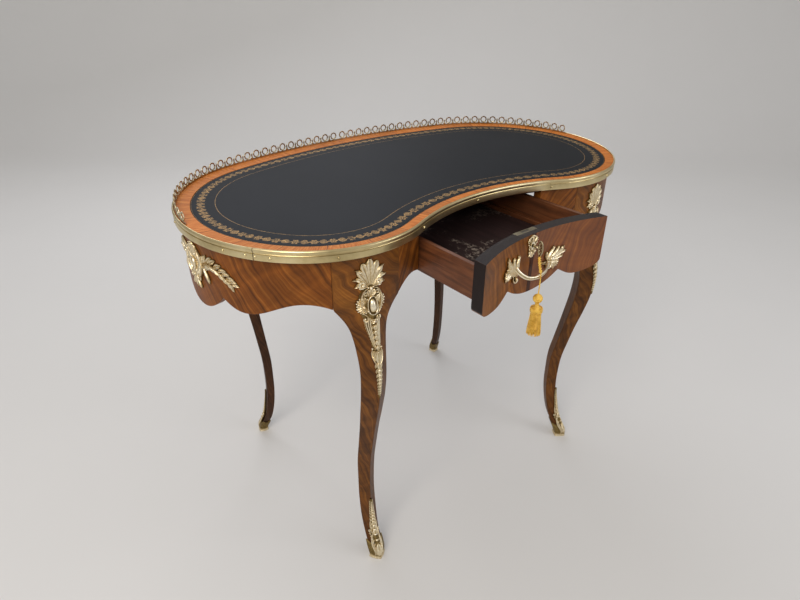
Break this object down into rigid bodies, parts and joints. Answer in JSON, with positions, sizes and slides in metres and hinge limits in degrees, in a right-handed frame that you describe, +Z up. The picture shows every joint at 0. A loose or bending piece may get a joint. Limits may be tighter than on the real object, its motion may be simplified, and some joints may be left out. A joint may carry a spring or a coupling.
{
  "type": "kidney-shaped writing desk",
  "caption": "Kidney-shaped writing desk on cabriole legs: pierced gallery, leather top, cast mounts, and a lockable drawer standing open with its key and tassel.",
  "frame": {"origin": "on the floor under the middle of the desk's box, taken with the drawer standing open and without the key's cord and tassel", "axes": "+X along the desk to the right as a sitter faces it, +Y to the back, +Z up; the drawer pulls out towards -Y"},
  "size_m": [1.0726, 0.7232, 0.7828],
  "materials": {
    "veneer": "quartered kingwood and walnut veneer, french polished",
    "crossbanding": "orange-brown cross-banded veneer, french polished",
    "secondary_wood": "plain stained wood, unpolished",
    "drawer_lining": "stained drawer lining with pale scuffs",
    "leather": "blue-black hide with gilt tooling",
    "edge_brass": "polished pale brass",
    "gilt_brass": "cast and gilt, worn, dark in the hollows",
    "steel": "aged steel",
    "gold_thread": "twisted gold silk"
  },
  "bodies": {
    "desk": {"top_board": "secondary_wood", "top_banding": "crossbanding", "leather_inset": "leather", "brass_edge_front": "edge_brass", "brass_edge_splice": "edge_brass", "brass_edge_right": "edge_brass", "brass_edge_left": "edge_brass", "gallery_left": "edge_brass", "gallery_right": "edge_brass", "apron_left": "veneer", "apron_right": "veneer", "apron_back": "veneer", "front_panel_left": "veneer", "front_panel_right": "veneer", "leg_front_left": "veneer", "leg_front_right": "veneer", "leg_back_right": "veneer", "leg_back_left": "veneer", "knee_mount_front_left": "gilt_brass", "knee_mount_front_right": "gilt_brass", "knee_mount_back_right": "gilt_brass", "knee_mount_back_left": "gilt_brass", "sabot_front_left": "gilt_brass", "sabot_front_right": "gilt_brass", "sabot_back_right": "gilt_brass", "sabot_back_left": "gilt_brass", "end_mount_left": "gilt_brass", "end_mount_right": "gilt_brass", "drawer_runner_left": "secondary_wood", "drawer_runner_right": "secondary_wood", "drawer_guide_left": "secondary_wood", "drawer_guide_right": "secondary_wood", "kicker_left": "secondary_wood", "kicker_right": "secondary_wood", "drawer_stop_left": "secondary_wood", "drawer_stop_right": "secondary_wood", "top_batten_left": "secondary_wood", "top_batten_right": "secondary_wood", "top_rail": "veneer"},
    "drawer": {"drawer_front": "veneer", "drawer_side_left": "drawer_lining", "drawer_side_right": "drawer_lining", "drawer_bottom": "drawer_lining", "drawer_back": "drawer_lining", "drawer_slip_left": "drawer_lining", "drawer_slip_right": "drawer_lining", "lock_case": "steel", "lock_cap": "steel", "escutcheon": "gilt_brass", "drawer_pull": "gilt_brass", "pull_screw_left": "steel", "pull_screw_right": "steel"},
    "lock_bolt": {"lock_bolt": "steel"},
    "key": {"key": "gilt_brass"},
    "tassel_cord": {"key_cord": "gold_thread", "tassel": "gold_thread"}
  },
  "joints": [
    {"name": "drawer_slide", "type": "slide", "parent": "desk", "child": "drawer", "axis": [0, -1, 0], "range_m": [-0.172, 0.1]},
    {"name": "key_turn", "type": "hinge", "parent": "drawer", "child": "key", "pos_m": [-0.0215, -0.32029, 0.709], "axis": [0, 1, 0], "range_deg": [0, 90]},
    {"name": "bolt_throw", "type": "slide", "parent": "drawer", "child": "lock_bolt", "axis": [0, 0, 1], "range_m": [0, 0.008]},
    {"name": "tassel_hang", "type": "hinge", "parent": "key", "child": "tassel_cord", "pos_m": [-0.0215, -0.34179, 0.6952], "axis": [0, 1, 0], "range_deg": [-90, 0]}
  ],
  "couplings": [
    {"joint": "key_turn", "follows": "bolt_throw", "rad_per_m": 196.34},
    {"joint": "tassel_hang", "follows": "bolt_throw", "rad_per_m": -196.34}
  ]
}
